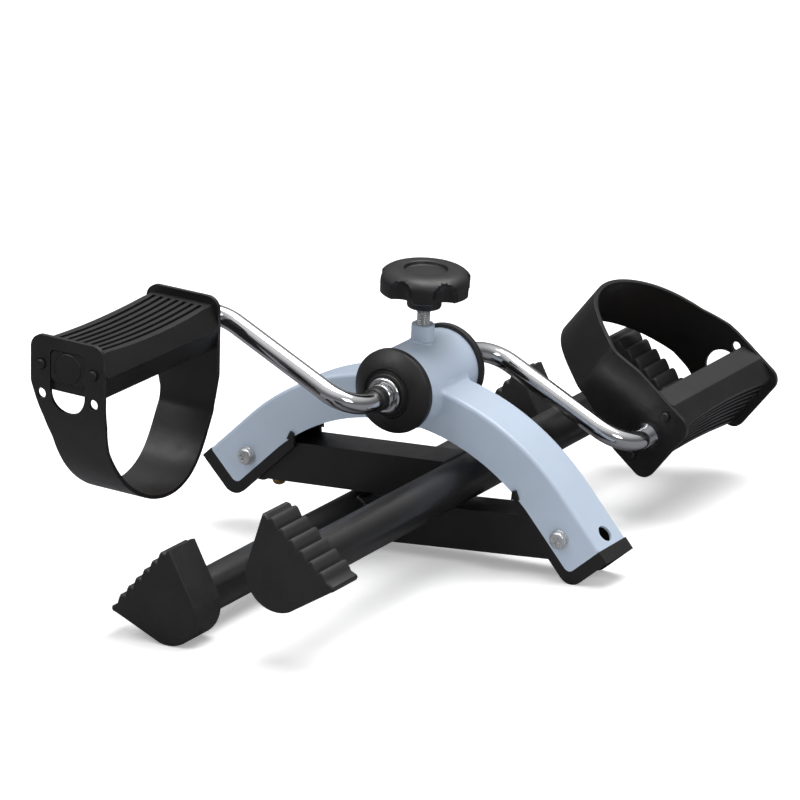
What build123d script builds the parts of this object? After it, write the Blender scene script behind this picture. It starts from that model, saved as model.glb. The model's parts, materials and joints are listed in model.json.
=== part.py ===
from build123d import *
import math
import os

# Folding pedal exerciser, shown folded flat: an arched steel frame with a crank hub on top and two legs underneath.
#
# Everything is drawn in a working frame with the hub axle's centre at the origin, X along the arch, Y along the axle
# and Z up. place_in_stance then tilts and lifts each piece, because the folded exerciser rests on the front leg's feet
# and on one end of its arch. Near means the -Y side and far the +Y side. Left and right are -X and +X.

# the hub axle lies this far along X from the middle of the overall length
HUB_X = 7.89

# arch: a steel channel, open side down
ARCH_WIDTH = 31.0
ARCH_DEPTH = 26.5
ARCH_WALL = 1.5
ARCH_TOP = 2.7  # crown of the arch above the hub axle
ARCH_RADIUS = 148.6
ARCH_STRAIGHT = 38.4
ARCH_SLOPE = 46.4
ARCH_EDGE_ROUND = 2.6

# hub
HUB_RADIUS = 23.0
HUB_BORE = 20.0
HUB_HALF = 27.2
CAP_RADIUS = 25.3
CAP_RIM = 5.0
CAP_DOME = 6.5
CAP_HOLE = 8.0
BUSH_LENGTH = 12.0

# crank: the axle inside the hub, and a bent rod on each side
ROD_RADIUS = 6.0
DRUM_RADIUS = 12.0
DRUM_LENGTH = 26.0
JOURNAL_RADIUS = 9.0
PIN_RADIUS = 2.0
PIN_FROM_MIDDLE = 7.0
CRANK_RADIUS = 107.0
CRANK_ANGLE = 156.6  # near crank, up from +X towards +Z
ARM_INNER = 74.0  # bend beside the hub, along Y
ARM_OUTER = 75.0  # bend beside the pedal, along Y
BEND_RADIUS = 20.0
RUNNING = 0.05  # radial clearance of a running fit

# tension control
BOSS_RADIUS = 6.8
BOSS_TOP = 33.6
SCREW_RADIUS = 4.0
NOSE_RADIUS = 2.5  # the screw's plain tip, loose in the pad
NOSE_DEPTH = 1.8
KNOB_BASE = 43.5  # underside of the knob's hub
KNOB_HUB_RADIUS = 10.2
KNOB_HUB_DEPTH = 9.0
KNOB_RADIUS = 27.0
KNOB_DEPTH = 15.0
KNOB_BORE = 14.0  # how far the screw reaches into the knob
SCOOP_RADIUS = 8.2
KNOB_LOBES = 6
KNOB_PHASE = 0.47  # first scoop past +X, as a share of the spacing
PAD_GAP = 0.6
PAD_TOP = 17.4

# pedals
PEDAL_MIDDLE = 160.1  # middle of the pedal along Y
PEDAL_HALF = 55.1  # body's half length, to the inside of the strap's end plates
TREAD_HEIGHT = 12.4
TREAD_HALF = 20.6
PEDAL_WAIST = 25.6
PEDAL_BASE = -14.8
PEDAL_BASE_HALF = 21.6
TREAD_DIP = 2.6
PLUG_RADIUS = 9.0
PLUG_DEPTH = 12.0
GROOVES = 7
GROOVE_PITCH = 5.3
GROOVE_WIDTH = 2.6
GROOVE_DEPTH = 2.0  # below the hollowed tread
NEAR_PEDAL_TURN = 1.4  # tread's tilt from level, up towards +X
FAR_PEDAL_TURN = -126.0

# straps: across the pedal they run from -STRAP_TOE to STRAP_HEEL, widening to PLATE_WIDTH beside the pedal
STRAP_THICKNESS = 2.5
STRAP_DROP = 90.0  # spindle axis to the lowest point of the loop
STRAP_STRAIGHT = 18.0
STRAP_TOE = 22.0
STRAP_HEEL = 14.5
PLATE_WIDTH = 50.0
PLATE_TOP = 17.0
PEG_SPAN = 35.4
PEG_RADIUS = 3.0
PEG_END = PEDAL_HALF + STRAP_THICKNESS + 2.2
HOLE_DROP = 17.4
WINDOW_HALF = 11.8
WINDOW_TOP = 9.6
WINDOW_LOW = -15.0
WINDOW_BOWL = 11.5  # how far the round part drops below WINDOW_LOW
WINDOW_BLOCK_LOW = -8.6
WINDOW_CORNER = 3.0

# legs
BAR_WIDTH = 25.0
BAR_HEIGHT = 25.0
BAR_SAG = 1.5  # the bar's centre line below its pivot
BAR_WALL = 1.5
LEG_LENGTH = 145.0
PIVOT_FROM_END = 19.1
PIVOT_DEPTH = 18.0
REAR_LEG_RISE = 6.8
FRONT_LEG_DROP = 8.4
TUBE_RADIUS = 12.7
TUBE_WALL = 1.5
FOOT_FACE = 205.0
FOOT_WIDTH = 26.0
FOOT_STEPS = 6
FOOT_HEEL = 20.3
BUTTON_ALONG = 11.5
BUTTON_RADIUS = 4.3
FRONT_BUTTON_OUT = 4.0  # low enough to pass under the arch as the leg opens
REAR_BUTTON_OUT = 7.0

# end boots and fasteners
BOOT_OVERHANG = 8.0
BOOT_DROP = 6.0
BOOT_LENGTH = 56.0
BOOT_LINING = 1.0
BOOT_CORNER = 9.0
BOOT_GAP = 0.5  # between the bar and the lining, each side
SLEEVE_RADIUS = 5.0
BOLT_RADIUS = 3.0
BOLT_HEAD_RADIUS = 5.0
BOLT_WASHER_RADIUS = 5.8

# worked out from the sizes above
SLOPE_COS = math.cos(math.radians(ARCH_SLOPE))
SLOPE_SIN = math.sin(math.radians(ARCH_SLOPE))
END_X = ARCH_RADIUS * SLOPE_SIN + ARCH_STRAIGHT * SLOPE_COS
END_Z = ARCH_TOP - ARCH_RADIUS * (1 - SLOPE_COS) - ARCH_STRAIGHT * SLOPE_SIN
PIVOT_X = END_X - PIVOT_FROM_END * SLOPE_COS - PIVOT_DEPTH * SLOPE_SIN
PIVOT_Z = END_Z + PIVOT_FROM_END * SLOPE_SIN - PIVOT_DEPTH * SLOPE_COS
CRANK_X = CRANK_RADIUS * math.cos(math.radians(CRANK_ANGLE))
CRANK_Z = CRANK_RADIUS * math.sin(math.radians(CRANK_ANGLE))
CAP_FACE = HUB_HALF + CAP_RIM + CAP_DOME
PEDAL_INNER = PEDAL_MIDDLE - PEDAL_HALF
LIP = ARCH_DEPTH + BOOT_DROP
SPINDLE_END = PEDAL_MIDDLE + PEDAL_HALF - 8.0

# ---------------------------------------------------------------- helpers


def at_end(back, depth):
    """A point at the arch's right end: back along the channel from its end, and down below its outer face."""
    return (
        END_X - back * SLOPE_COS - depth * SLOPE_SIN,
        END_Z + back * SLOPE_SIN - depth * SLOPE_COS,
    )


def stance():
    """The tilt and the hub's height when the front feet's heels and the right boot's corner are on the floor."""
    drop = math.radians(FRONT_LEG_DROP)
    heel_x = PIVOT_X - LEG_LENGTH * math.cos(drop)
    heel_z = PIVOT_Z - LEG_LENGTH * math.sin(drop)
    corner_x, corner_z = at_end(BOOT_CORNER - BOOT_OVERHANG, LIP - BOOT_CORNER)
    apart = math.hypot(heel_x - corner_x, heel_z - corner_z)
    slope = math.atan2(heel_z - corner_z, corner_x - heel_x)
    tilt = math.asin((FOOT_HEEL - BOOT_CORNER) / apart) - slope
    height = FOOT_HEEL + heel_x * math.sin(tilt) - heel_z * math.cos(tilt)
    return math.degrees(tilt), height


TILT, HUB_HEIGHT = stance()


def place_in_stance(shape):
    return Pos(HUB_X, 0, HUB_HEIGHT) * Rot(0, TILT, 0) * shape


def save(shape, name):
    export_step(place_in_stance(shape), f"parts/{name}.step")


def axle(radius, start, end, x=0.0, z=0.0):
    """A cylinder along Y."""
    return Pos(x, (start + end) / 2, z) * Rot(90, 0, 0) * Cylinder(radius, abs(end - start))


def ring(outer, inner, start, end, x=0.0, z=0.0):
    return axle(outer, start, end, x, z) - axle(inner, start - 1, end + 1, x, z)


def slab(profile, width, middle=0.0):
    """A profile drawn in X and Z, made solid across Y."""
    return Pos(0, middle, 0) * extrude(Plane.XZ * profile, amount=width / 2, both=True)


def outline(*points):
    return make_face(Polyline(*points, close=True))


def turned(points, start=0.0):
    """A solid of revolution about the Y axis: points are (radius, distance along +Y)."""
    profile = outline(*[(r, start + y) for r, y in points])
    return revolve(profile, Axis.Y, 360)


def flip_side(shape):
    """The same piece on the other side of the hub, half a turn round the axle's middle."""
    return Rot(0, 0, 180) * shape


def mirror_left(shape):
    return mirror(shape, about=Plane.YZ)


def end_outline(*corners):
    return outline(*[at_end(back, depth) for back, depth in corners])


# ---------------------------------------------------------------- frame


def arch_line():
    """The arch's outer face, seen from the side, from the left end to the right end."""
    bend = ARCH_RADIUS * SLOPE_SIN
    bend_z = ARCH_TOP - ARCH_RADIUS * (1 - SLOPE_COS)
    left = Line((-END_X, 0, END_Z), (-bend, 0, bend_z))
    crown = ThreePointArc((-bend, 0, bend_z), (0, 0, ARCH_TOP), (bend, 0, bend_z))
    right = Line((bend, 0, bend_z), (END_X, 0, END_Z))
    return Wire([left.edge(), crown.edge(), right.edge()])


def arch_sweep(width, top, bottom, round_radius):
    """A rectangular section, between two depths below the arch's outer face, swept along the arch."""
    path = arch_line()
    start = Plane(origin=path @ 0, x_dir=(0, 1, 0), z_dir=path % 0)
    section = Pos(0, -(top + bottom) / 2) * Rectangle(width, bottom - top)
    if round_radius:
        section = fillet(section.vertices().group_by(Axis.Y)[-1], round_radius)
    return sweep(start * section, path=path)


def arch_channel():
    body = arch_sweep(ARCH_WIDTH, 0, ARCH_DEPTH, ARCH_EDGE_ROUND)
    hollow = arch_sweep(ARCH_WIDTH - 2 * ARCH_WALL, ARCH_WALL, ARCH_DEPTH + 2, ARCH_EDGE_ROUND - ARCH_WALL)
    channel = body - hollow - axle(HUB_RADIUS, -20, 20)
    for side in (-1, 1):
        channel -= axle(BOLT_RADIUS + RUNNING, -20, 20, side * PIVOT_X, PIVOT_Z)
    cut = lock_hole(BUTTON_RADIUS + 0.7) + corner_fill(20)
    return channel - cut - mirror_left(cut)


def lock_hole(radius):
    """The hole in the arch's top face that the leg's button springs into."""
    x, z = at_end(PIVOT_FROM_END - BUTTON_ALONG, 2)
    return Pos(x, 0, z) * Rot(0, ARCH_SLOPE, 0) * Cylinder(radius, 12)


def corner_fill(width):
    """The small corner that the channel's lip loses at its end, and the boot fills."""
    size = 4.0
    square = end_outline((0, ARCH_DEPTH - size), (size, ARCH_DEPTH - size), (size, ARCH_DEPTH), (0, ARCH_DEPTH))
    round_part = Pos(*at_end(size, ARCH_DEPTH - size)) * Circle(size)
    return slab(square - round_part, 2 * width)


def end_boot():
    """The plastic lining of an arch end: thin inside the channel, full thickness where it stands proud."""
    inner = BAR_WIDTH + 2 * BOOT_GAP
    lined = ARCH_WALL + BOOT_LINING
    silhouette = end_outline(
        (-BOOT_OVERHANG, 0),
        (BOOT_LENGTH, 0),
        (BOOT_LENGTH, ARCH_DEPTH),
        (BOOT_LENGTH - 5, LIP),
        (-BOOT_OVERHANG, LIP),
    )
    corner = silhouette.vertices().sort_by_distance((*at_end(-BOOT_OVERHANG, LIP), 0))[0]
    silhouette = slab(fillet(corner, BOOT_CORNER), ARCH_WIDTH + 2)
    overhang = slab(end_outline((-20, 0), (0, 0), (0, LIP), (-20, LIP)), ARCH_WIDTH)
    strip = arch_sweep(ARCH_WIDTH, ARCH_DEPTH, LIP + 4, 0)
    lining = arch_sweep(ARCH_WIDTH - 2 * ARCH_WALL, ARCH_WALL, ARCH_DEPTH, ARCH_EDGE_ROUND - ARCH_WALL)
    boot = (overhang + strip + lining + corner_fill(ARCH_WIDTH / 2)) & silhouette
    boot -= arch_sweep(inner, lined, LIP + 9, 0)
    boot -= slab(end_outline((-20, lined), (1, lined), (1, LIP + 9), (-20, LIP + 9)), inner)
    tip = end_outline(
        (BOOT_LENGTH - 5, ARCH_DEPTH - 0.5),
        (BOOT_LENGTH + 0.5, ARCH_DEPTH - 2.4),
        (BOOT_LENGTH + 1.5, ARCH_DEPTH),
        (BOOT_LENGTH - 2, ARCH_DEPTH + 4),
    )
    for side in (-1, 1):
        boot += slab(tip, 1.2, side * (ARCH_WIDTH / 2 + 0.6))
    boot -= axle(BOLT_RADIUS + RUNNING, -20, 20, PIVOT_X, PIVOT_Z)
    slot = BUTTON_RADIUS + 1.2
    x, z = at_end((PIVOT_FROM_END - BUTTON_ALONG) / 2 - 10, 2)
    groove = Pos(x, 0, z) * Rot(0, ARCH_SLOPE, 0) * Box(PIVOT_FROM_END - BUTTON_ALONG + 20, 2 * slot, 12)
    return boot - lock_hole(slot) - (groove & overhang_inside(lined))


def overhang_inside(depth):
    """The space under the boot's roof where the button slides before it springs out."""
    start = -BOOT_OVERHANG + 2
    return slab(end_outline((start, ARCH_WALL), (30, ARCH_WALL), (30, depth + 1), (start, depth + 1)), 40)


def hub_tube():
    tube = ring(HUB_RADIUS, HUB_BORE, -HUB_HALF, HUB_HALF)
    return tube - Pos(0, 0, HUB_RADIUS) * Cylinder(SCREW_RADIUS + 0.5, 20)


def tension_boss():
    """The threaded boss welded on top of the hub, its foot cut to the hub's curve."""
    height = BOSS_TOP - HUB_BORE
    boss = Pos(0, 0, HUB_BORE + height / 2) * Cylinder(BOSS_RADIUS, height)
    boss = chamfer(boss.edges().group_by(Axis.Z)[-1], 0.6)
    boss -= axle(HUB_RADIUS, -20, 20)
    return boss - Pos(0, 0, BOSS_TOP) * Cylinder(SCREW_RADIUS + RUNNING, 60)


def dust_cap():
    """The near dust cap: a rim over the hub's end, a grooved dome and a hole for the rod."""
    dome = [
        (CAP_HOLE, 0),
        (CAP_RADIUS, 0),
        (CAP_RADIUS, CAP_RIM - 1.2),
        (CAP_RADIUS - 1.2, CAP_RIM),
        (CAP_RADIUS - 4.5, CAP_RIM + CAP_DOME * 0.42),
        (CAP_RADIUS - 8.0, CAP_RIM + CAP_DOME * 0.74),
        (CAP_RADIUS - 10.2, CAP_RIM + CAP_DOME * 0.80),
        (CAP_RADIUS - 11.0, CAP_RIM + CAP_DOME * 0.62),
        (CAP_RADIUS - 12.2, CAP_RIM + CAP_DOME * 0.62),
        (CAP_RADIUS - 13.0, CAP_RIM + CAP_DOME * 0.94),
        (CAP_RADIUS - 14, CAP_RIM + CAP_DOME),
        (CAP_HOLE, CAP_RIM + CAP_DOME),
    ]
    cap = turned(dome, HUB_HALF)
    recess = axle(18.0, HUB_HALF - 1, HUB_HALF + 2.5)
    return flip_side(cap - recess)


def hub_bush():
    """The near plastic bush, pressed into the hub's end for the axle to turn in."""
    return flip_side(ring(HUB_BORE, JOURNAL_RADIUS + RUNNING, HUB_HALF - BUSH_LENGTH, HUB_HALF))


def pivot_bolts():
    """A pan-head bolt with a cross recess through each arch end, head on the near side."""
    face = ARCH_WIDTH / 2
    washer = ring(BOLT_WASHER_RADIUS, BOLT_RADIUS, -face - 1.0, -face)
    shank = axle(BOLT_RADIUS, -face - 1.5, face + 8.0)
    head = axle(BOLT_HEAD_RADIUS, -face - 4.2, -face - 1.0)
    head = fillet(head.edges().group_by(Axis.Y)[0], 1.6)
    recess = Box(5.2, 2.4, 1.3) + Box(1.3, 2.4, 5.2)
    recess = Pos(0, -face - 4.2, 0) * Rot(0, 20, 0) * recess
    bolt = washer + shank + head - recess
    return Compound([Pos(side * PIVOT_X, 0, PIVOT_Z) * bolt for side in (-1, 1)])


def pivot_nuts():
    nut = extrude(Plane.XZ * RegularPolygon(5.8, 6), amount=5.0, both=False)
    nut = Pos(0, ARCH_WIDTH / 2 + 5.0, 0) * nut - axle(BOLT_RADIUS, 0, 40)
    return Compound([Pos(side * PIVOT_X, 0, PIVOT_Z) * nut for side in (-1, 1)])


def pivot_sleeves():
    """A spacer tube round each pivot bolt, between the linings, for the leg to turn on."""
    tube = ring(SLEEVE_RADIUS, BOLT_RADIUS + RUNNING, -BAR_WIDTH / 2 - 0.5, BAR_WIDTH / 2 + 0.5)
    return Compound([Pos(side * PIVOT_X, 0, PIVOT_Z) * tube for side in (-1, 1)])


# ---------------------------------------------------------------- tension control


def tension_screw():
    nose = Pos(0, 0, PAD_TOP - 0.6) * Cylinder(NOSE_RADIUS, 2.2)
    low = PAD_TOP + 0.5
    high = KNOB_BASE + KNOB_BORE
    return nose + Pos(0, 0, (low + high) / 2) * Cylinder(SCREW_RADIUS, high - low)


def brake_pad():
    """The block that the screw presses onto the axle's drum. Its underside is hollowed to the drum's curve."""
    low = DRUM_RADIUS - 2.0
    pad = Pos(0, 0, (low + PAD_TOP) / 2) * Box(13, 18, PAD_TOP - low)
    pad &= axle(PAD_TOP, -20, 20)
    pad -= axle(DRUM_RADIUS + PAD_GAP, -20, 20)
    return pad - Pos(0, 0, PAD_TOP) * Cylinder(NOSE_RADIUS + RUNNING, 2 * NOSE_DEPTH)


def tension_knob():
    """A round-topped hand knob with scoops between its lobes, and a plain recess in its top."""
    skirt = KNOB_BASE + KNOB_HUB_DEPTH
    top = skirt + KNOB_DEPTH
    middle = (skirt + top) / 2
    disc = Pos(0, 0, middle) * Cylinder(KNOB_RADIUS, KNOB_DEPTH)
    disc = fillet(disc.edges().group_by(Axis.Z)[-1], 7.0)
    disc = fillet(disc.edges().group_by(Axis.Z)[0], 1.5)
    scoop = Pos(KNOB_RADIUS + 1.0, 0, skirt) * (
        Pos(0, 0, 1) * Cylinder(SCOOP_RADIUS, 8) + Pos(0, 0, 5) * Sphere(SCOOP_RADIUS)
    )
    for lobe in range(KNOB_LOBES):
        disc -= Rot(0, 0, (lobe + KNOB_PHASE) * 360 / KNOB_LOBES) * scoop
    hub = Pos(0, 0, KNOB_BASE + (KNOB_HUB_DEPTH + 2) / 2) * Cylinder(KNOB_HUB_RADIUS, KNOB_HUB_DEPTH + 2)
    hub = fillet(hub.edges().group_by(Axis.Z)[0], 2.0)
    knob = disc + hub
    knob -= Pos(0, 0, top) * Cylinder(12.5, 2 * 2.4)
    return knob - Pos(0, 0, KNOB_BASE) * Cylinder(SCREW_RADIUS, 2 * KNOB_BORE)


# ---------------------------------------------------------------- crank


def crank_axle():
    """A steel drum with a journal each side. The two rods are pinned into its bore."""
    drum = axle(DRUM_RADIUS, -DRUM_LENGTH / 2, DRUM_LENGTH / 2)
    journals = axle(JOURNAL_RADIUS, -HUB_HALF - 1.5, HUB_HALF + 1.5)
    bore = axle(ROD_RADIUS, -HUB_HALF - 5, HUB_HALF + 5)
    return drum + journals - bore - cross_pins(40)


def cross_pins(length):
    return [Pos(0, side * PIN_FROM_MIDDLE, 0) * Cylinder(PIN_RADIUS, length) for side in (-1, 1)]


def crank_pins():
    """A roll pin across the axle and each rod."""
    return Compound(cross_pins(2 * (DRUM_RADIUS - 0.8)))


def crank_rod():
    """The near rod: out of the hub, up the arm, then out along the pedal's spindle."""
    corner = (0, -ARM_INNER, 0)
    knee = (CRANK_X, -ARM_OUTER, CRANK_Z)
    path = FilletPolyline((0, -1, 0), corner, knee, (CRANK_X, -SPINDLE_END, CRANK_Z), radius=BEND_RADIUS)
    rod = sweep(Plane(origin=(0, -1, 0), z_dir=(0, -1, 0)) * Circle(ROD_RADIUS), path=path)
    return rod - cross_pins(40)


def crank_washer():
    """The near bright washer, dished, that turns with the rod just outside the dust cap."""
    dish = [(ROD_RADIUS, 0.6), (10.6, 0.6), (10.6, 1.6), (9.8, 2.4), (8.2, 2.4), (8.2, 1.6), (ROD_RADIUS, 1.6)]
    return flip_side(turned(dish, CAP_FACE))


def crank_collar():
    edge = 7.6
    collar = [(ROD_RADIUS, 1.6), (edge, 1.6), (edge, 5.6), (edge - 1, 6.6), (ROD_RADIUS, 6.6)]
    return flip_side(turned(collar, CAP_FACE))


def crank_sleeve():
    """The near soft sleeve over the rod's straight stretch beside the hub."""
    edge = 7.4
    sleeve = [(ROD_RADIUS, 6.6), (edge, 6.6), (edge, 11.2), (edge - 0.9, 12.6), (ROD_RADIUS, 12.6)]
    return flip_side(turned(sleeve, CAP_FACE))


def spindle_rings():
    """Two bright rings on each spindle, between the rod's bend and the pedal."""
    solids = []
    for start, radius in ((7.4, 9.0), (4.8, 8.2)):
        pair = ring(radius, ROD_RADIUS, -PEDAL_INNER + start - 2.2, -PEDAL_INNER + start, CRANK_X, CRANK_Z)
        solids += [pair, flip_side_through_hub(pair)]
    return Compound(solids)


def flip_side_through_hub(shape):
    """A near piece of the crank moved to the far crank, which points the opposite way."""
    return Rot(0, 0, 180) * mirror(shape, about=Plane.XY)


# ---------------------------------------------------------------- pedals, drawn with the spindle's middle at the origin


def pedal_body():
    section = outline(
        (-TREAD_HALF, TREAD_HEIGHT),
        (TREAD_HALF, TREAD_HEIGHT),
        (PEDAL_WAIST, -1),
        (PEDAL_BASE_HALF, PEDAL_BASE),
        (-PEDAL_BASE_HALF, PEDAL_BASE),
        (-PEDAL_WAIST, -1),
    )
    section = fillet(section.vertices(), 1.6)
    body = slab(section, 2 * PEDAL_HALF)
    for groove in range(GROOVES):
        offset = (groove - (GROOVES - 1) / 2) * GROOVE_PITCH
        body -= dip_cutter(GROOVE_WIDTH, GROOVE_DEPTH, offset) & Box(80, 2 * PEDAL_HALF - 9, 80)
    body -= dip_cutter(80.0, 0, 0)
    body += slab(window_block(), 3.0, PEDAL_HALF + 0.5)
    for side in (-1, 1):
        for x in (-PEG_SPAN / 2, PEG_SPAN / 2):
            peg = axle(PEG_RADIUS, side * (PEDAL_HALF - 1), side * PEG_END, x)
            tip = peg.edges().sort_by(lambda edge: side * edge.center().Y)[-1]
            body += fillet(tip, 1.6)
    body -= axle(ROD_RADIUS + RUNNING, -PEDAL_HALF - 5, PEDAL_HALF - 7.9)
    return body - axle(PLUG_RADIUS + RUNNING, PEDAL_HALF - PLUG_DEPTH, PEDAL_HALF + 5)


def dip_cutter(width, extra, offset):
    """A slice of a large disc that hollows the tread along its length, or with extra depth cuts a groove in it."""
    reach = PEDAL_HALF - 3
    radius = (reach**2 + TREAD_DIP**2) / (2 * TREAD_DIP)
    return Pos(offset, 0, TREAD_HEIGHT - TREAD_DIP + radius) * Rot(0, 90, 0) * Cylinder(radius + extra, width)


def window_outline():
    """The window in a strap's outer plate: square above, round below."""
    box = Pos(0, (WINDOW_TOP + WINDOW_LOW) / 2) * Rectangle(2 * WINDOW_HALF, WINDOW_TOP - WINDOW_LOW)
    box = fillet(box.vertices().group_by(Axis.Y)[-1], WINDOW_CORNER)
    return box + Pos(0, WINDOW_LOW) * Ellipse(WINDOW_HALF, WINDOW_BOWL)


def window_block():
    """The block on the pedal's outer end that fills the upper part of the window."""
    gap = 0.4
    high = WINDOW_TOP - gap
    low = WINDOW_BLOCK_LOW
    block = Pos(0, (high + low) / 2) * Rectangle(2 * (WINDOW_HALF - gap), high - low)
    return fillet(block.vertices(), WINDOW_CORNER)


def pedal_plug():
    """The plug that closes the outer end of the pedal over the spindle's retaining ring."""
    disc = axle(PLUG_RADIUS, PEDAL_HALF - 4.5, PEDAL_HALF + 2.6)
    return fillet(disc.edges().group_by(Axis.Y)[-1], 1.2)


def spindle_retainer():
    return ring(PLUG_RADIUS - 0.5, ROD_RADIUS, PEDAL_HALF - 10.9, PEDAL_HALF - 9.4)


def pedal_strap():
    """One moulded loop: a wide plate over each end of the pedal, and a narrower band hanging between them."""
    outer = extrude(Plane.YZ * strap_profile(0), amount=PLATE_WIDTH, both=True)
    inner = extrude(Plane.YZ * strap_profile(STRAP_THICKNESS), amount=PLATE_WIDTH, both=True)
    band = outer - inner
    half = PLATE_WIDTH / 2
    silhouette = outline(
        (-half, PLATE_TOP),
        (half, PLATE_TOP),
        (half, -11),
        (STRAP_HEEL + 3.0, -31),
        (STRAP_HEEL, -44),
        (STRAP_HEEL, -STRAP_DROP - 5),
        (-STRAP_TOE, -STRAP_DROP - 5),
        (-STRAP_TOE, -48),
        (-half, -30),
    )
    top_corners = silhouette.vertices().group_by(Axis.Y)[-1]
    silhouette = fillet(top_corners, 8.0)
    bends = silhouette.vertices().filter_by(lambda v: -60 < v.Y < -10)
    silhouette = fillet(bends, 9.0)
    reach = 2 * (PEDAL_HALF + STRAP_THICKNESS + 2)
    strap = band & slab(silhouette, reach)
    strap -= slab(window_outline(), reach, reach / 2)
    strap -= axle(ROD_RADIUS + 1.0, -reach, 0)
    for x in (-PEG_SPAN / 2, PEG_SPAN / 2):
        strap -= axle(PEG_RADIUS + 0.2, -reach, reach, x)
        strap -= axle(PEG_RADIUS, 0, reach, x, -HOLE_DROP)
    return strap


def strap_profile(inset):
    """The filled loop seen along X. Its lowest point lies towards the hub, where the foot's ball presses."""
    half = PEDAL_HALF + STRAP_THICKNESS - inset
    drop = STRAP_DROP - inset
    low_middle = -0.34 * half
    points = [
        (half, -STRAP_STRAIGHT),
        (0.92 * half, -40),
        (0.72 * half, -0.68 * drop),
        (0.36 * half, -0.89 * drop),
        (low_middle, -drop),
        (-0.68 * half, -0.89 * drop),
        (-0.93 * half, -0.64 * drop),
        (-half, -STRAP_STRAIGHT),
    ]
    loop = Spline(*points, tangents=((0, -1), (0, 1)))
    top = Polyline(points[-1], (-half, PLATE_TOP + inset), (half, PLATE_TOP + inset), points[0])
    return make_face([loop.edge()] + top.edges())


def on_near_crank(piece):
    """Near pedal: its outer end faces -Y, away from the hub."""
    return Pos(CRANK_X, -PEDAL_MIDDLE, CRANK_Z) * Rot(0, -NEAR_PEDAL_TURN, 0) * Rot(0, 0, 180) * piece


def on_far_crank(piece):
    return Pos(-CRANK_X, PEDAL_MIDDLE, -CRANK_Z) * Rot(0, -FAR_PEDAL_TURN, 0) * piece


# ---------------------------------------------------------------- legs, drawn with the pivot at the origin


def leg_bar():
    """A square tube from the pivot to the cross tube, with a round end at the pivot."""
    long_part = Pos(LEG_LENGTH / 2, -BAR_SAG) * Rectangle(LEG_LENGTH, BAR_HEIGHT)
    round_end = Pos(0, -BAR_SAG) * Circle(BAR_HEIGHT / 2)
    bar = slab(long_part + round_end, BAR_WIDTH)
    inside = Pos(LEG_LENGTH / 2 - 10, -BAR_SAG) * Rectangle(LEG_LENGTH + 40, BAR_HEIGHT - 2 * BAR_WALL)
    bar -= slab(inside, BAR_WIDTH - 2 * BAR_WALL)
    bar -= axle(TUBE_RADIUS, -20, 20, LEG_LENGTH)
    bar -= axle(SLEEVE_RADIUS + RUNNING, -20, 20)
    return bar - Pos(BUTTON_ALONG, 0, -BAR_HEIGHT / 2 - BAR_SAG) * Cylinder(BUTTON_RADIUS + RUNNING, 10)


def cross_tube():
    reach = FOOT_FACE - 4.0
    return ring(TUBE_RADIUS, TUBE_RADIUS - TUBE_WALL, -reach, reach, LEG_LENGTH)


def foot_outline():
    """A foot from the side: a slope of steps between its top corner and its tip, and a flat back."""
    top = (-3.0, 34.0)
    tip = (33.4, 0.8)
    points = [(-6.5, 36.6), top]
    for step in range(FOOT_STEPS):
        near = step / FOOT_STEPS
        far = (step + 1) / FOOT_STEPS
        start = [a + (b - a) * near for a, b in zip(top, tip)]
        end = [a + (b - a) * far for a, b in zip(top, tip)]
        points.append((start[0] + 3.4, start[1] + 0.2))
        points.append((end[0] + 0.6, end[1] + 1.6))
    return points + [(36.4, -1.0), (33.6, -4.2), (7.2, -18.9), (0, 0), (-FOOT_HEEL + 0.6, 4.0)]


def foot():
    """A rubber foot on the outer end of the cross tube, at the -Y end, hollow for the tube."""
    profile = Circle(FOOT_HEEL) + outline(*foot_outline())
    body = slab(Pos(LEG_LENGTH, 0) * profile, FOOT_WIDTH, -FOOT_FACE + FOOT_WIDTH / 2)
    return body - axle(TUBE_RADIUS, -FOOT_FACE + 4.0, -FOOT_FACE + 60, LEG_LENGTH)


def lock_button(out):
    """The brass button standing out of the bar's underside, with a flange inside the bar."""
    face = -BAR_HEIGHT / 2 - BAR_SAG
    low = face - out
    inside = face + BAR_WALL
    button = Pos(BUTTON_ALONG, 0, (low + inside) / 2) * Cylinder(BUTTON_RADIUS, inside - low)
    button = fillet(button.edges().group_by(Axis.Z)[0], 3.6)
    return button + Pos(BUTTON_ALONG, 0, inside + 0.7) * Cylinder(BUTTON_RADIUS + 1.4, 1.4)


def lock_spring():
    """A V of spring steel inside the bar: one leaf on the button, the other under the bar's far wall."""
    low = -BAR_HEIGHT / 2 + BAR_WALL + 1.5
    high = BAR_HEIGHT / 2 - BAR_WALL - 0.1
    start = BUTTON_ALONG + 5.5
    tip = 62.0
    leaf = 0.8
    shape = outline(
        (BUTTON_ALONG - 4, low),
        (start, low),
        (tip, -leaf),
        (tip + 2.0, 0),
        (tip, leaf),
        (start, high),
        (start - 3, high),
        (start - 3, high - leaf),
        (start - 0.5, high - leaf),
        (tip - 2.0, 0),
        (start - 0.5, low + leaf),
        (BUTTON_ALONG - 4, low + leaf),
    )
    return slab(Pos(0, -BAR_SAG) * shape, 8.0)


def as_rear_leg(piece):
    """The rear leg hangs from the left end and reaches to the right, a little upwards."""
    return Pos(-PIVOT_X, 0, PIVOT_Z) * Rot(0, -REAR_LEG_RISE, 0) * piece


def as_front_leg(piece):
    """The front leg hangs from the right end and reaches to the left, a little downwards."""
    return Pos(PIVOT_X, 0, PIVOT_Z) * Rot(0, -FRONT_LEG_DROP, 0) * mirror_left(piece)


# ---------------------------------------------------------------- write every piece


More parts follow.
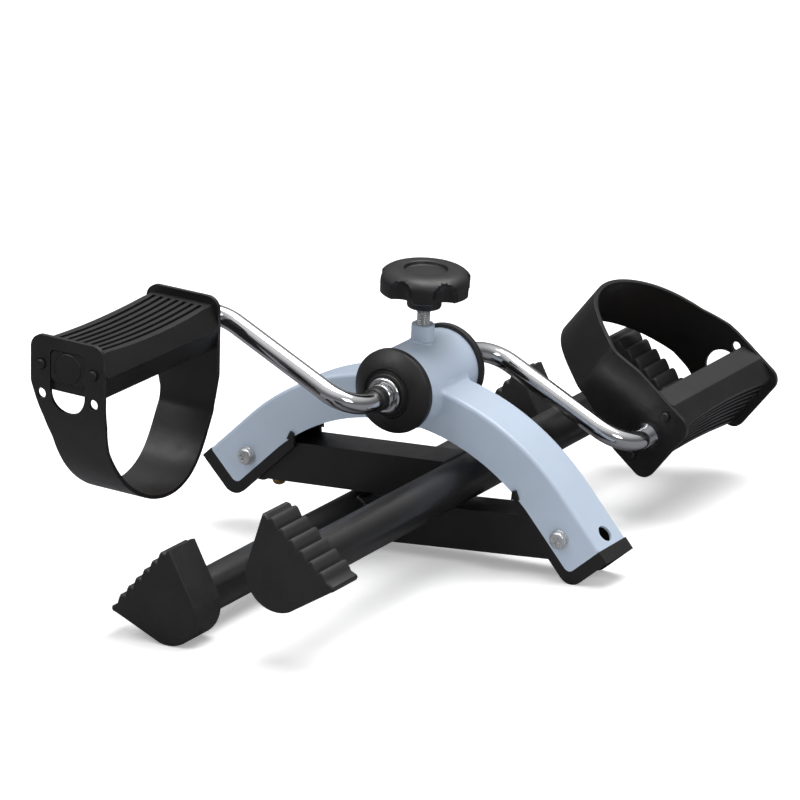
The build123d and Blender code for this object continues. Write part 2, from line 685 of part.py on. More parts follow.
def main():
    os.makedirs("parts", exist_ok=True)
    save(arch_channel(), "arch_channel")
    boot = end_boot()
    save(boot, "end_boot_right")
    save(mirror_left(boot), "end_boot_left")
    save(hub_tube(), "hub_tube")
    save(tension_boss(), "tension_boss")
    save(pivot_bolts(), "pivot_bolts")
    save(pivot_nuts(), "pivot_nuts")
    save(pivot_sleeves(), "pivot_sleeves")

    save(tension_screw(), "tension_screw")
    save(tension_knob(), "tension_knob")
    save(brake_pad(), "brake_pad")
    save(crank_axle(), "crank_axle")
    save(crank_pins(), "crank_pins")
    save(spindle_rings(), "spindle_rings")

    near_makers = {
        "dust_cap": dust_cap,
        "hub_bush": hub_bush,
        "crank_rod": crank_rod,
        "crank_washer": crank_washer,
        "crank_collar": crank_collar,
        "crank_sleeve": crank_sleeve,
    }
    for name, make in near_makers.items():
        piece = make()
        save(piece, f"{name}_near")
        save(flip_side_through_hub(piece), f"{name}_far")

    pedal_makers = {
        "pedal_body": pedal_body,
        "pedal_strap": pedal_strap,
        "pedal_plug": pedal_plug,
        "spindle_retainer": spindle_retainer,
    }
    for name, make in pedal_makers.items():
        piece = make()
        save(on_near_crank(piece), f"{name}_near")
        save(on_far_crank(piece), f"{name}_far")

    leg_makers = {
        "leg_bar": leg_bar,
        "cross_tube": cross_tube,
        "lock_spring": lock_spring,
        "foot_near": foot,
        "foot_far": lambda: mirror(foot(), about=Plane.XZ),
    }
    for name, make in leg_makers.items():
        piece = make()
        save(as_rear_leg(piece), f"rear_{name}")
        save(as_front_leg(piece), f"front_{name}")
    save(as_rear_leg(lock_button(REAR_BUTTON_OUT)), "rear_lock_button")
    save(as_front_leg(lock_button(FRONT_BUTTON_OUT)), "front_lock_button")


main()
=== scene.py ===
import json
import math

import bmesh
import bpy
from mathutils import Matrix, Vector


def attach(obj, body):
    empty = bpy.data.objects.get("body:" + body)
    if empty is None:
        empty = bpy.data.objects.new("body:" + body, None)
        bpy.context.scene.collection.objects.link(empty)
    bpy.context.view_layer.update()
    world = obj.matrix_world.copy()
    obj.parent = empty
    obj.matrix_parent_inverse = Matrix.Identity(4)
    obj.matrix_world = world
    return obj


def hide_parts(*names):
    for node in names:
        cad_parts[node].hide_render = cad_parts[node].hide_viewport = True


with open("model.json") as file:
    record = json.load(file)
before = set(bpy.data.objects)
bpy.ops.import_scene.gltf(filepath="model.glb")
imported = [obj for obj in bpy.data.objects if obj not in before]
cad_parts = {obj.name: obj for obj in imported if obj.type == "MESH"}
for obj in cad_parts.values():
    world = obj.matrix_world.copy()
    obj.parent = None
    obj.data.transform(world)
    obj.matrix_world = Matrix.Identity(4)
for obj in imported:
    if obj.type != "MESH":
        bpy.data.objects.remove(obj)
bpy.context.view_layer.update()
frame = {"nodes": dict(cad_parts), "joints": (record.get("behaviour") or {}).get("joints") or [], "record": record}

# A folding pedal exerciser, folded flat on a pale floor. Pieces are drawn in millimetres in the frame of the
# exerciser's own tilted arch, or of one leg, and MM turns them into metres.
MM = 0.001

# ---------------------------------------------------------------- places, from the frame

JOINTS = {joint["name"]: joint for joint in frame["joints"]}
RECORD = frame["record"]
BODY_OF_NODE = {node: body for body, nodes in RECORD["behaviour"]["bodies"].items() for node in nodes}
SLOT_OF_NODE = {part["node"]: part["material_slot"] for part in RECORD["subparts"]}


def joint_at(name):
    return Vector(JOINTS[name]["pos_m"])


def lean(axis):
    """The turn about +Y that takes straight up to this axis."""
    return math.atan2(axis[0], axis[2])


def facing(place, turn):
    return Matrix.Translation(place) @ Matrix.Rotation(turn, 4, "Y")


TILT = lean([-value for value in JOINTS["tension_travel"]["axis"]])
ARCH_FRAME = facing(joint_at("crank_turn"), TILT)
KNOB_FRAME = facing(joint_at("tension_turn"), TILT)
REAR_LEG = facing(joint_at("rear_leg_fold"), lean(JOINTS["rear_button_press"]["axis"]))
FRONT_LEG = facing(joint_at("front_leg_fold"), lean(JOINTS["front_button_press"]["axis"]))

# sizes in millimetres
HUB_RADIUS = 23.0
ARCH_HALF_WIDTH = 15.5
ARCH_CROWN = 2.7
ARCH_BEND = 148.6
BOSS_RADIUS = 6.8
LEG_LENGTH = 145.0
LEG_BEAD = 1.5
BOSS_BEAD = 1.3
BAR_HALF = 12.5
BAR_TOP = 11.0
TUBE_RADIUS = 12.7
FOOT_FACE = 205.0
FOOT_WIDTH = 26.0
FOOT_HEEL = 20.3
FOOT_STEPS = 6
SCREW_RADIUS = 4.0
SCREW_PITCH = 1.25
NOSE_RADIUS = 2.5

# ---------------------------------------------------------------- materials


class Nodes:
    """A short way to write a material's nodes and their links."""

    def __init__(self, material):
        material.use_nodes = True
        self.tree = material.node_tree
        self.shader = self.tree.nodes["Principled BSDF"]
        self.place = self.add("ShaderNodeTexCoord").outputs["Object"]

    def add(self, kind, **settings):
        node = self.tree.nodes.new(kind)
        for name, value in settings.items():
            setattr(node, name, value)
        return node

    def link(self, source, target):
        self.tree.links.new(source, target)

    def noise(self, scale, detail=3.0, rough=0.55):
        node = self.add("ShaderNodeTexNoise")
        node.inputs["Scale"].default_value = scale
        node.inputs["Detail"].default_value = detail
        node.inputs["Roughness"].default_value = rough
        self.link(self.place, node.inputs["Vector"])
        return node.outputs["Fac"]

    def remap(self, value, low, high, to_low, to_high):
        node = self.add("ShaderNodeMapRange")
        for name, number in zip(("From Min", "From Max", "To Min", "To Max"), (low, high, to_low, to_high)):
            node.inputs[name].default_value = number
        self.link(value, node.inputs["Value"])
        return node.outputs["Result"]

    def mix(self, share, first, second):
        node = self.add("ShaderNodeMix", data_type="RGBA")
        self.link(share, node.inputs["Factor"])
        for socket, colour in zip((node.inputs[6], node.inputs[7]), (first, second)):
            if isinstance(colour, bpy.types.NodeSocket):
                self.link(colour, socket)
            else:
                socket.default_value = (*colour, 1.0)
        return node.outputs[2]

    def multiply(self, first, second):
        node = self.add("ShaderNodeMath", operation="MULTIPLY")
        self.link(first, node.inputs[0])
        self.link(second, node.inputs[1])
        return node.outputs[0]

    def bump(self, height, distance, normal=None):
        node = self.add("ShaderNodeBump")
        node.inputs["Distance"].default_value = distance
        node.inputs["Strength"].default_value = 1.0
        self.link(height, node.inputs["Height"])
        if normal is not None:
            self.link(normal, node.inputs["Normal"])
        return node.outputs["Normal"]

    def worn_edges(self):
        """1 along sharp edges, broken up by noise, and 0 elsewhere."""
        rounded = self.add("ShaderNodeBevel", samples=4)
        rounded.inputs["Radius"].default_value = 0.0007
        compare = self.add("ShaderNodeVectorMath", operation="DOT_PRODUCT")
        self.link(rounded.outputs["Normal"], compare.inputs[0])
        self.link(self.add("ShaderNodeNewGeometry").outputs["Normal"], compare.inputs[1])
        edge = self.remap(compare.outputs["Value"], 0.985, 0.90, 0.0, 1.0)
        patches = self.remap(self.noise(180.0, 4.0), 0.48, 0.66, 0.0, 0.8)
        return self.multiply(edge, patches)


def shade(tone, share):
    return [min(1.0, channel * share) for channel in tone]


def make_material(name, colour, rough, grain, grain_depth, mottle=0.08, wear=None, coat=0.0):
    """Tone and gloss vary slowly over the piece, a fine grain covers it, and its edges are a little worn."""
    material = bpy.data.materials.new(name)
    nodes = Nodes(material)
    slow = nodes.remap(nodes.noise(28.0, 4.0), 0.3, 0.7, 0.0, 1.0)
    tone = nodes.mix(slow, shade(colour, 1 - mottle), shade(colour, 1 + mottle))
    if wear:
        tone = nodes.mix(nodes.worn_edges(), tone, wear)
    nodes.link(tone, nodes.shader.inputs["Base Color"])
    smudge = nodes.noise(75.0, 5.0, 0.65)
    gloss = nodes.remap(smudge, 0.3, 0.7, rough * 0.85, min(1.0, rough * 1.2))
    nodes.link(gloss, nodes.shader.inputs["Roughness"])
    fine = nodes.bump(nodes.noise(grain, 2.0), grain_depth)
    coarse = nodes.bump(nodes.noise(grain / 9.0, 2.0), grain_depth * 1.6, fine)
    nodes.link(coarse, nodes.shader.inputs["Normal"])
    nodes.shader.inputs["Coat Weight"].default_value = coat
    nodes.shader.inputs["Coat Roughness"].default_value = 0.12
    return material


def chrome_material():
    """Bright plate with faint wiping marks and a little haze."""
    material = bpy.data.materials.new("chrome_plate")
    nodes = Nodes(material)
    slow = nodes.remap(nodes.noise(40.0, 3.0), 0.3, 0.7, 0.0, 1.0)
    nodes.link(nodes.mix(slow, (0.70, 0.71, 0.73), (0.80, 0.80, 0.81)), nodes.shader.inputs["Base Color"])
    haze = nodes.remap(nodes.noise(160.0, 6.0, 0.7), 0.35, 0.75, 0.045, 0.16)
    nodes.link(haze, nodes.shader.inputs["Roughness"])
    nodes.link(nodes.bump(nodes.noise(60.0, 2.0), 0.00012), nodes.shader.inputs["Normal"])
    nodes.shader.inputs["Metallic"].default_value = 1.0
    return material


def brushed_material(name, colour, rough, metallic=1.0):
    """Plated or turned steel: fine lines round the piece over a slow change of tone."""
    material = bpy.data.materials.new(name)
    nodes = Nodes(material)
    slow = nodes.remap(nodes.noise(90.0, 4.0), 0.3, 0.7, 0.0, 1.0)
    nodes.link(nodes.mix(slow, shade(colour, 0.86), shade(colour, 1.1)), nodes.shader.inputs["Base Color"])
    lines = nodes.noise(900.0, 6.0, 0.75)
    nodes.link(nodes.remap(lines, 0.3, 0.7, rough * 0.7, rough * 1.4), nodes.shader.inputs["Roughness"])
    nodes.link(nodes.bump(lines, 0.00004), nodes.shader.inputs["Normal"])
    nodes.shader.inputs["Metallic"].default_value = metallic
    return material


BLUE = (0.42, 0.495, 0.60)
BLACK = (0.010, 0.0095, 0.0095)
BLACK_EDGE = (0.045, 0.043, 0.042)
PALE_BLUE_EDGE = (0.55, 0.62, 0.74)

MATERIALS = {
    "blue_paint": make_material(
        "blue_powder_coat", BLUE, 0.38, 1400.0, 0.00002, 0.03, wear=PALE_BLUE_EDGE, coat=0.15
    ),
    "black_paint": make_material(
        "black_gloss_paint", BLACK, 0.34, 1100.0, 0.00002, 0.2, wear=BLACK_EDGE, coat=0.1
    ),
    "black_plastic": make_material(
        "black_moulded_plastic", BLACK, 0.42, 2600.0, 0.00003, 0.2, wear=BLACK_EDGE
    ),
    "pedal_plastic": make_material(
        "pedal_moulded_plastic", BLACK, 0.40, 2400.0, 0.00003, 0.2, wear=BLACK_EDGE
    ),
    "strap_plastic": make_material(
        "strap_flexible_plastic", (0.012, 0.0105, 0.010), 0.33, 1900.0, 0.00003, 0.25, wear=BLACK_EDGE
    ),
    "black_rubber": make_material(
        "moulded_rubber", (0.013, 0.012, 0.0115), 0.56, 1700.0, 0.00006, 0.25, wear=BLACK_EDGE
    ),
    "grey_plastic": make_material("natural_nylon", (0.30, 0.30, 0.28), 0.5, 1500.0, 0.00004),
    "chrome": chrome_material(),
    "zinc": brushed_material("zinc_plate", (0.66, 0.67, 0.68), 0.30, 0.75),
    "bare_steel": brushed_material("drawn_steel", (0.40, 0.40, 0.41), 0.36),
    "brass": brushed_material("dull_brass", (0.50, 0.30, 0.12), 0.32),
}

# ---------------------------------------------------------------- mesh helpers


def finish_piece(mesh_object, body, slot_name, smooth_angle):
    """Gives a piece its material and its body, and shades it smooth except across sharp edges."""
    mesh = mesh_object.data
    mesh.materials.clear()
    mesh.materials.append(MATERIALS[slot_name])
    for polygon in mesh.polygons:
        polygon.use_smooth = True
    mesh.set_sharp_from_angle(angle=math.radians(smooth_angle))
    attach(mesh_object, body)


def add_object(name, mesh):
    mesh_object = bpy.data.objects.new(name, mesh)
    bpy.context.scene.collection.objects.link(mesh_object)
    return mesh_object


def from_bmesh(name, shape, place):
    """A new object from a bmesh drawn in millimetres in a local frame."""
    bmesh.ops.recalc_face_normals(shape, faces=shape.faces)
    mesh = bpy.data.meshes.new(name)
    shape.to_mesh(mesh)
    shape.free()
    mesh.transform(place @ Matrix.Scale(MM, 4))
    return add_object(name, mesh)


def round_edges(mesh_object, width):
    bevel = mesh_object.modifiers.new("rounded_edges", "BEVEL")
    bevel.width = width * MM
    bevel.segments = 2
    bevel.limit_method = "ANGLE"
    bevel.angle_limit = math.radians(32.0)
    bevel.miter_outer = "MITER_ARC"
    normals = mesh_object.modifiers.new("even_shading", "WEIGHTED_NORMAL")
    normals.keep_sharp = True
    normals.weight = 80


def refined(node, width):
    """A copy of a CAD node's mesh, its flat faces joined and its edges rounded, that stands for the node."""
    same_point = 0.002 * MM
    flat_within = math.radians(0.6)
    mesh = frame["nodes"][node].data.copy()
    shape = bmesh.new()
    shape.from_mesh(mesh)
    bmesh.ops.remove_doubles(shape, verts=shape.verts, dist=same_point)
    bmesh.ops.dissolve_limit(shape, angle_limit=flat_within, verts=shape.verts, edges=shape.edges)
    shape.to_mesh(mesh)
    shape.free()
    piece = add_object(f"{node}_shaped", mesh)
    finish_piece(piece, BODY_OF_NODE[node], SLOT_OF_NODE[node], 75.0)
    round_edges(piece, width)
    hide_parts(node)


def grid_mesh(rings):
    """A tube-like bmesh through rings of points, each ring closed on itself, with a cap at both ends."""
    shape = bmesh.new()
    rows = [[shape.verts.new(point) for point in ring] for ring in rings]
    for low, high in zip(rows, rows[1:]):
        count = len(low)
        for k in range(count):
            after = (k + 1) % count
            shape.faces.new((low[k], low[after], high[after], high[k]))
    shape.faces.new(rows[0])
    shape.faces.new(rows[-1])
    return shape


# ---------------------------------------------------------------- knob and screw


def knob_piece():
    """The hand knob: a domed disc with scoops under its rim, a plain recess on top and a short hub."""
    steps = 288
    scoops = 6
    first_scoop = math.radians(28.2)
    scoop_centre = 28.0
    scoop_radius = 8.2
    scoop_top = 14.0
    soft = 0.55
    dome = [k * math.pi / 20 for k in range(1, 11)]
    # (radius, height) from the middle of the underside, over the rim, to the middle of the recess
    profile = [(4.2, 0.3), (8.6, 0.0), (9.7, 0.5), (10.2, 1.6), (10.2, 7.6), (10.6, 8.5), (11.6, 9.0)]
    profile += [(15.0, 9.0), (19.0, 9.0), (23.0, 9.0), (25.2, 9.1), (26.3, 9.7), (26.9, 10.6)]
    profile += [(27.0, 11.4 + 0.7 * k) for k in range(8)]
    profile += [(17.0 + 10.0 * math.cos(angle), 17.0 + 7.0 * math.sin(angle)) for angle in dome]
    profile += [(13.6, 24.0), (12.9, 23.85), (12.6, 23.3), (12.45, 22.2), (12.1, 21.8), (11.4, 21.6)]
    profile += [(6.0, 21.6), (1.0, 21.6)]

    def scooped(radius, height, angle):
        """The radius, cut back where a scoop lies."""
        gap = 2 * math.pi / scoops
        offset = (angle - first_scoop + gap / 2) % gap - gap / 2
        above = max(0.0, height - scoop_top)
        size_squared = scoop_radius**2 - above**2 - (scoop_centre * math.sin(offset)) ** 2
        if size_squared <= 0:
            return radius
        wall = scoop_centre * math.cos(offset) - math.sqrt(size_squared)
        blend = max(0.0, min(1.0, 0.5 + 0.5 * (radius - wall) / soft))
        return radius + (wall - radius) * blend

    rings = []
    for radius, height in profile:
        ring = []
        for k in range(steps):
            angle = 2 * math.pi * k / steps
            reach = scooped(radius, height, angle)
            ring.append((reach * math.cos(angle), reach * math.sin(angle), height))
        rings.append(ring)
    knob = from_bmesh("hand_knob", grid_mesh(rings), KNOB_FRAME)
    finish_piece(knob, "tension_knob", "black_plastic", 50.0)
    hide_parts("tension_knob")


def screw_piece():
    """The tension screw, with its thread cut as a helix."""
    steps = 40
    rows_per_turn = 8
    low = -25.4
    high = 13.5
    nose_length = 1.5
    rows = round((high - low) / SCREW_PITCH * rows_per_turn)
    thread_depth = 0.62
    turns = [k / steps for k in range(steps)]
    round_once = [(math.cos(2 * math.pi * turn), math.sin(2 * math.pi * turn)) for turn in turns]
    rings = [[(NOSE_RADIUS * x, NOSE_RADIUS * y, low - nose_length) for x, y in round_once]]
    for row in range(rows + 1):
        height = low + (high - low) * row / rows
        ring = []
        for turn, (x, y) in zip(turns, round_once):
            groove = 1 - abs(2 * ((height / SCREW_PITCH - turn) % 1.0) - 1)
            radius = SCREW_RADIUS - thread_depth * groove
            ring.append((radius * x, radius * y, height))
        rings.append(ring)
    screw = from_bmesh("tension_screw_thread", grid_mesh(rings), KNOB_FRAME)
    finish_piece(screw, "tension_knob", "zinc", 60.0)
    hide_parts("tension_screw")


# ---------------------------------------------------------------- feet

# one tooth of a foot's slope, as (share of the tooth's length, height above the slope)
TOOTH = [(0.0, 0.3), (0.05, 1.7), (0.14, 2.7), (0.26, 3.0), (0.48, 2.5), (0.74, 1.6), (0.94, 0.8)]

# points of a foot seen from the side, from the cross tube's axis: the ends of its toothed slope, the furthest
# point beyond the lower end and the highest point
FOOT_TOP = Vector((-3.0, 34.0))
FOOT_TIP = Vector((33.4, 0.8))
FOOT_NOSE = Vector((37.9, -1.8))
FOOT_PEAK = Vector((-6.5, 36.6))


def on_slope(steps, height):
    """A point so many steps down the foot's slope, standing out from it by this height."""
    slope = FOOT_TIP - FOOT_TOP
    outward = Vector((-slope.y, slope.x)).normalized()
    return FOOT_TOP + slope * steps / FOOT_STEPS + outward * height


def foot_outline():
    """One foot from the side: round heel, flat base, teeth up the slope and the flat back."""
    start = math.radians(168.6)
    stop = math.radians(290.8)
    steps = 26
    points = []
    for k in range(steps + 1):
        angle = start + (stop - start) * k / steps
        points.append(Vector((FOOT_HEEL * math.cos(angle), FOOT_HEEL * math.sin(angle))))
    points += [Vector((35.0, -4.1)), Vector((37.0, -3.3)), FOOT_NOSE, Vector((37.4, -0.3))]
    for step in reversed(range(FOOT_STEPS)):
        points += [on_slope(step + share, height) for share, height in reversed(TOOTH)]
    return points + [Vector((-4.2, 36.2)), FOOT_PEAK]


def inset(points, amount):
    """The outline drawn in by amount, corner by corner. The outline runs anticlockwise."""
    moved = []
    for k, point in enumerate(points):
        before = (point - points[k - 1]).normalized()
        after = (points[(k + 1) % len(points)] - point).normalized()
        first = Vector((-before.y, before.x))
        second = Vector((-after.y, after.x))
        reach = amount / max(0.45, 1 + first.dot(second))
        moved.append(point + (first + second) * reach)
    return moved


def foot_piece(leg, side, place, mirrored):
    """A stepped rubber foot, rounded along both faces."""
    sign = -1 if side == "near" else 1
    flip = -1 if mirrored else 1
    rounding = 1.5
    steps = 5
    outline = foot_outline()
    quarter = [math.pi / 2 * k / steps for k in range(steps + 1)]
    rims = [(rounding * (1 - math.cos(angle)), rounding * (1 - math.sin(angle))) for angle in quarter]
    rims += [(FOOT_WIDTH - depth, drawn_in) for depth, drawn_in in reversed(rims)]
    rings = []
    for depth, drawn_in in rims:
        y = sign * (FOOT_FACE - depth)
        rings.append([(flip * (LEG_LENGTH + point.x), y, point.y) for point in inset(outline, drawn_in)])
    name = f"{leg}_foot_{side}"
    foot = from_bmesh(f"{name}_rubber", grid_mesh(rings), place)
    finish_piece(foot, f"{leg}_leg", "black_rubber", 42.0)
    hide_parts(name)


# ---------------------------------------------------------------- weld beads


def bead(name, path, radius, place, body, slot_name):
    """A rippled weld bead along a path of points."""
    around = 12
    ripple = 0.07
    ripples_per_mm = 0.55
    thin_end = 0.35
    fading_points = 3
    points = [Vector(point) for point in path]
    rings = []
    travelled = 0.0
    side = (points[1] - points[0]).orthogonal()
    for k, point in enumerate(points):
        before = points[max(0, k - 1)]
        after = points[min(len(points) - 1, k + 1)]
        along = (after - before).normalized()
        travelled += (point - before).length
        side = (side - along * side.dot(along)).normalized()
        other = along.cross(side)
        to_end = min(k, len(points) - 1 - k)
        taper = min(1.0, thin_end + (1 - thin_end) * to_end / fading_points)
        size = radius * taper * (1 + ripple * math.sin(2 * math.pi * travelled * ripples_per_mm))
        ring = []
        for step in range(around):
            angle = 2 * math.pi * step / around
            ring.append(point + size * (math.cos(angle) * side + math.sin(angle) * other))
        rings.append(ring)
    piece = from_bmesh(name, grid_mesh(rings), place)
    finish_piece(piece, body, slot_name, 80.0)


def along_points(corners):
    """Evenly spaced points along straight stretches between corners."""
    step = 0.3
    points = []
    for start, end in zip(corners, corners[1:]):
        start, end = Vector(start), Vector(end)
        count = max(1, round((end - start).length / step))
        points += [start.lerp(end, k / count) for k in range(count)]
    return points + [Vector(corners[-1])]


def leg_weld(leg, place, mirrored):
    """The bead round the square bar's end where it meets the cross tube."""
    flip = -1 if mirrored else 1
    corners = []
    top_angle = math.pi - math.asin(BAR_TOP / TUBE_RADIUS)
    low_angle = math.radians(255)
    steps = 14
    arc = [low_angle + (top_angle - low_angle) * k / steps for k in range(steps + 1)]
    for side, angles in ((-1, arc), (1, arc[::-1])):
        for angle in angles:
            x = LEG_LENGTH + TUBE_RADIUS * math.cos(angle)
            corners.append((flip * x, side * BAR_HALF, TUBE_RADIUS * math.sin(angle)))
    bead(f"{leg}_leg_weld", along_points(corners), LEG_BEAD, place, f"{leg}_leg", "black_paint")


def arch_section():
    """Half of the arch's section, from its lip up to the middle of its top: (y, depth, sideways, upwards)."""
    lip = 25.2
    edge = 2.6
    flat = ARCH_HALF_WIDTH - edge
    rows = 26
    corner_rows = 6
    top_rows = 16
    points = [(ARCH_HALF_WIDTH, lip + (edge - lip) * k / rows, 1.0, 0.0) for k in range(rows)]
    for k in range(corner_rows + 1):
        angle = math.pi / 2 * k / corner_rows
        across, up = math.cos(angle), math.sin(angle)
        points.append((flat + edge * across, edge - edge * up, across, up))
    return points + [(flat * (1 - k / top_rows), 0.0, 0.0, 1.0) for k in range(1, top_rows + 1)]


def hub_welds():
    """The hollow fillets of weld where the arch's sides and top meet the hub tube."""
    reach = 3.6
    ripple = 0.05
    ripple_turn = 1.9
    buried = 0.25
    steps = 7
    centre = ARCH_CROWN - ARCH_BEND
    half = arch_section()
    whole = half + [(-y, depth, -sideways, upwards) for y, depth, sideways, upwards in reversed(half[:-1])]
    for name, flip in (("left", -1), ("right", 1)):
        rings = []
        for k, (y, depth, sideways, upwards) in enumerate(whole):
            z = (centre**2 + HUB_RADIUS**2 - (ARCH_BEND - depth) ** 2) / (2 * centre)
            x = flip * math.sqrt(HUB_RADIUS**2 - z**2)
            point = Vector((x, y, z))
            radial = Vector((x, 0, z)) / HUB_RADIUS
            along_hub = Vector((-flip * abs(z) * upwards, sideways * HUB_RADIUS, abs(x) * upwards))
            along_hub = along_hub.normalized()
            along_arch = Vector((flip * (z - centre), 0, -abs(x))).normalized()
            away = (radial * (1 - upwards) + along_arch * upwards).normalized()
            size = reach * (1 + ripple * math.sin(ripple_turn * k))
            ring = []
            for step in range(steps + 1):
                share = step / steps
                ring.append(point + size * ((1 - share) ** 2 * along_hub + share**2 * away))
            ring[0] = ring[0] - radial * buried
            ring[-1] = ring[-1] - Vector((0, sideways, upwards)) * buried
            ring.append(point - (along_hub + away) * buried)
            rings.append(ring)
        weld = from_bmesh(f"hub_weld_{name}", grid_mesh(rings), ARCH_FRAME)
        finish_piece(weld, "frame", "blue_paint", 60.0)


def boss_weld():
    """The bead round the foot of the tension boss."""
    steps = 160
    corners = []
    for k in range(steps + 1):
        angle = 2 * math.pi * k / steps
        x = BOSS_RADIUS * math.cos(angle)
        y = BOSS_RADIUS * math.sin(angle)
        corners.append((x, y, math.sqrt(HUB_RADIUS**2 - x**2)))
    bead("boss_weld", corners, BOSS_BEAD, ARCH_FRAME, "frame", "blue_paint")


# ---------------------------------------------------------------- the exerciser

EDGE_ROUNDING = {
    "arch_channel": 0.35,
    "end_boot_left": 0.9,
    "end_boot_right": 0.9,
    "pedal_body_near": 0.4,
    "pedal_body_far": 0.4,
    "pedal_strap_near": 0.5,
    "pedal_strap_far": 0.5,
    "dust_cap_near": 0.4,
    "dust_cap_far": 0.4,
    "crank_washer_near": 0.25,
    "crank_washer_far": 0.25,
    "crank_collar_near": 0.25,
    "crank_collar_far": 0.25,
    "pivot_bolts": 0.2,
    "pivot_nuts": 0.3,
    "rear_leg_bar": 0.9,
    "front_leg_bar": 0.9,
}


def build_exerciser():
    knob_piece()
    screw_piece()
    for leg, place, mirrored in (("rear", REAR_LEG, False), ("front", FRONT_LEG, True)):
        for side in ("near", "far"):
            foot_piece(leg, side, place, mirrored)
        leg_weld(leg, place, mirrored)
    hub_welds()
    boss_weld()
    for node, width in EDGE_ROUNDING.items():
        refined(node, width)
    for node, cad_object in frame["nodes"].items():
        if not cad_object.hide_render:
            cad_object.data.materials.clear()
            cad_object.data.materials.append(MATERIALS[SLOT_OF_NODE[node]])


# ---------------------------------------------------------------- floor, light and camera

FLOOR_HALF = 6.0
FLOOR_LIFT = 0.30
FAR_FLOOR_LIFT = 0.75
WORLD_STRENGTH = 0.75
CAMERA_AZIMUTH = 31.025
CAMERA_ELEVATION = 19.840
CAMERA_ROLL = 2.896
CAMERA_DISTANCE = 2.9083
CAMERA_AIM = (-0.013055, 0.0, -0.017033)
CAMERA_LENS = 223.5


def floor_material():
    """Pale and matt. Bright metal sees it darker, as a room would be. To the camera it pales far off."""
    near = 0.7
    far = 2.5
    material = bpy.data.materials.new("pale_floor")
    nodes = Nodes(material)
    slow = nodes.remap(nodes.noise(1.5, 3.0), 0.3, 0.7, 0.0, 1.0)
    pale = nodes.mix(slow, (0.88, 0.88, 0.885), (0.90, 0.90, 0.905))
    rays = nodes.add("ShaderNodeLightPath")
    tone = nodes.mix(rays.outputs["Is Glossy Ray"], pale, (0.16, 0.16, 0.17))
    nodes.link(tone, nodes.shader.inputs["Base Color"])
    distance = nodes.add("ShaderNodeVectorMath", operation="LENGTH")
    nodes.link(nodes.place, distance.inputs[0])
    lift = nodes.remap(distance.outputs["Value"], near, far, FLOOR_LIFT, FAR_FLOOR_LIFT)
    nodes.shader.inputs["Emission Color"].default_value = (1, 1, 1, 1)
    nodes.link(nodes.multiply(lift, rays.outputs["Is Camera Ray"]), nodes.shader.inputs["Emission Strength"])
    nodes.shader.inputs["Roughness"].default_value = 0.8
    nodes.shader.inputs["Specular IOR Level"].default_value = 0.1
    return material


def make_floor():
    """A pale floor that stays under the lowest foot when the legs open."""
    shape = bmesh.new()
    corners = [(-1, -1), (1, -1), (1, 1), (-1, 1)]
    shape.faces.new([shape.verts.new((FLOOR_HALF * x, FLOOR_HALF * y, 0)) for x, y in corners])
    mesh = bpy.data.meshes.new("floor")
    shape.to_mesh(mesh)
    shape.free()
    mesh.materials.append(floor_material())
    floor = add_object("floor", mesh)
    driver = floor.driver_add("location", 2).driver
    terms = ["0"]
    peak_share, peak_height = max(TOOTH, key=lambda corner: corner[1])
    spots = {
        "heel": Vector((0, 0)),
        "nose": FOOT_NOSE,
        "peak": FOOT_PEAK,
        "first_tooth": on_slope(peak_share, peak_height),
        "last_tooth": on_slope(FOOT_STEPS - 1 + peak_share, peak_height),
    }
    for leg, place, flip in (("rear", REAR_LEG, 1), ("front", FRONT_LEG, -1)):
        for spot, point in spots.items():
            marker = bpy.data.objects.new(f"{leg}_{spot}_marker", None)
            bpy.context.scene.collection.objects.link(marker)
            marker.location = place @ (Vector((flip * (LEG_LENGTH + point.x), 0, point.y)) * MM)
            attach(marker, f"{leg}_leg")
            variable = driver.variables.new()
            variable.name = f"{leg}_{spot}"
            variable.type = "TRANSFORMS"
            variable.targets[0].id = marker
            variable.targets[0].transform_type = "LOC_Z"
            variable.targets[0].transform_space = "WORLD_SPACE"
            drop = FOOT_HEEL * MM if spot == "heel" else 0.0
            terms.append(f"{variable.name} - {drop}")
    driver.expression = f"min({', '.join(terms)})"


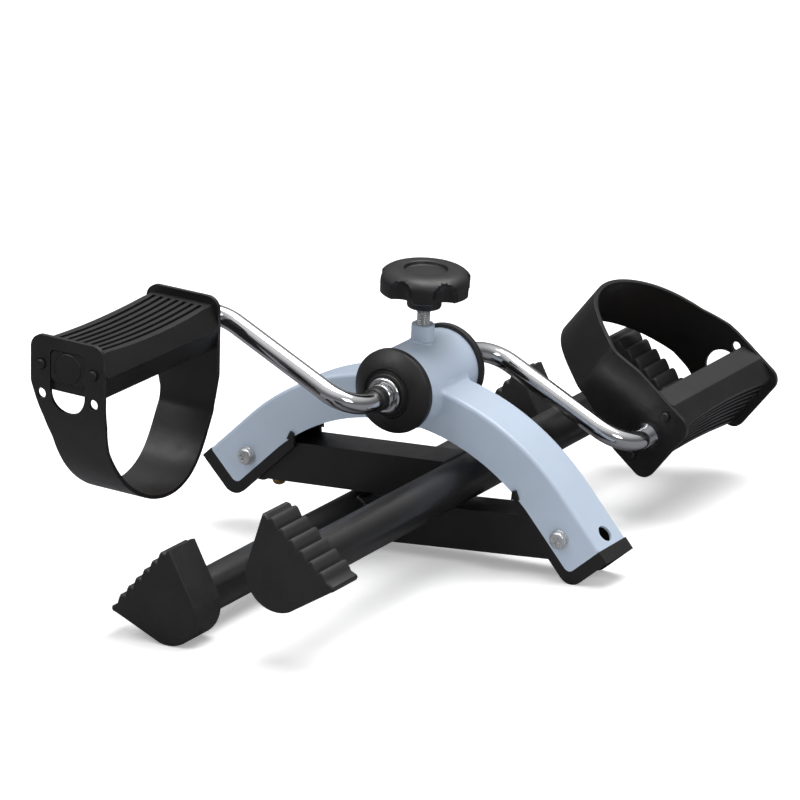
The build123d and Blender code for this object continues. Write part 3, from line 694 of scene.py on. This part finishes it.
def make_world():
    """Soft surroundings, bright above and darker at the sides for metal to show, but white to the camera."""
    world = bpy.data.worlds.new("studio")
    bpy.context.scene.world = world
    world.use_nodes = True
    tree = world.node_tree
    nodes = tree.nodes
    background = nodes["Background"]
    place = nodes.new("ShaderNodeTexCoord").outputs["Generated"]
    split = nodes.new("ShaderNodeSeparateXYZ")
    ramp = nodes.new("ShaderNodeValToRGB")
    tree.links.new(place, split.inputs[0])
    tree.links.new(split.outputs["Z"], ramp.inputs["Fac"])
    tree.links.new(ramp.outputs["Color"], background.inputs["Color"])
    seen = nodes.new("ShaderNodeBackground")
    seen.inputs["Color"].default_value = (1.0, 1.0, 1.0, 1)
    choose = nodes.new("ShaderNodeMixShader")
    rays = nodes.new("ShaderNodeLightPath")
    tree.links.new(rays.outputs["Is Camera Ray"], choose.inputs[0])
    tree.links.new(background.outputs[0], choose.inputs[1])
    tree.links.new(seen.outputs[0], choose.inputs[2])
    tree.links.new(choose.outputs[0], nodes["World Output"].inputs["Surface"])
    stops = ramp.color_ramp.elements
    stops[0].position = 0.0
    stops[0].color = (0.16, 0.16, 0.17, 1)
    stops[1].position = 0.80
    stops[1].color = (1.0, 1.0, 1.0, 1)
    middle = stops.new(0.30)
    middle.color = (0.24, 0.24, 0.25, 1)
    background.inputs["Strength"].default_value = WORLD_STRENGTH


def add_light(name, place, target, size, power):
    data = bpy.data.lights.new(name, "AREA")
    data.size = size
    data.energy = power
    light = bpy.data.objects.new(name, data)
    bpy.context.scene.collection.objects.link(light)
    light.location = place
    light.rotation_euler = (Vector(target) - Vector(place)).to_track_quat("-Z", "Y").to_euler()


def make_lights():
    middle = (0.0, 0.0, 0.08)
    add_light("key", (-0.9, -1.3, 1.9), middle, 1.0, 11.0)
    add_light("top", (0.3, 0.4, 2.0), middle, 1.5, 40.0)
    add_light("side", (1.8, -0.9, 0.9), middle, 0.7, 5.0)


def make_camera():
    """The camera stands where the photograph was taken from, in the arch's own frame."""
    azimuth = math.radians(CAMERA_AZIMUTH)
    elevation = math.radians(CAMERA_ELEVATION)
    roll = math.radians(CAMERA_ROLL)
    back = Vector((
        math.sin(azimuth) * math.cos(elevation),
        -math.cos(azimuth) * math.cos(elevation),
        math.sin(elevation),
    ))
    level = Vector((math.cos(azimuth), math.sin(azimuth), 0))
    upright = back.cross(level)
    right = math.cos(roll) * level + math.sin(roll) * upright
    up = -math.sin(roll) * level + math.cos(roll) * upright
    stand = Matrix((right, up, back)).transposed().to_4x4()
    stand.translation = Vector(CAMERA_AIM) + back * CAMERA_DISTANCE
    data = bpy.data.cameras.new("camera")
    data.lens = CAMERA_LENS
    data.clip_end = 50.0
    camera = bpy.data.objects.new("camera", data)
    bpy.context.scene.collection.objects.link(camera)
    camera.matrix_world = ARCH_FRAME @ stand
    bpy.context.scene.camera = camera


build_exerciser()
make_floor()
make_world()
make_lights()
make_camera()
bpy.context.scene.view_settings.view_transform = "Standard"
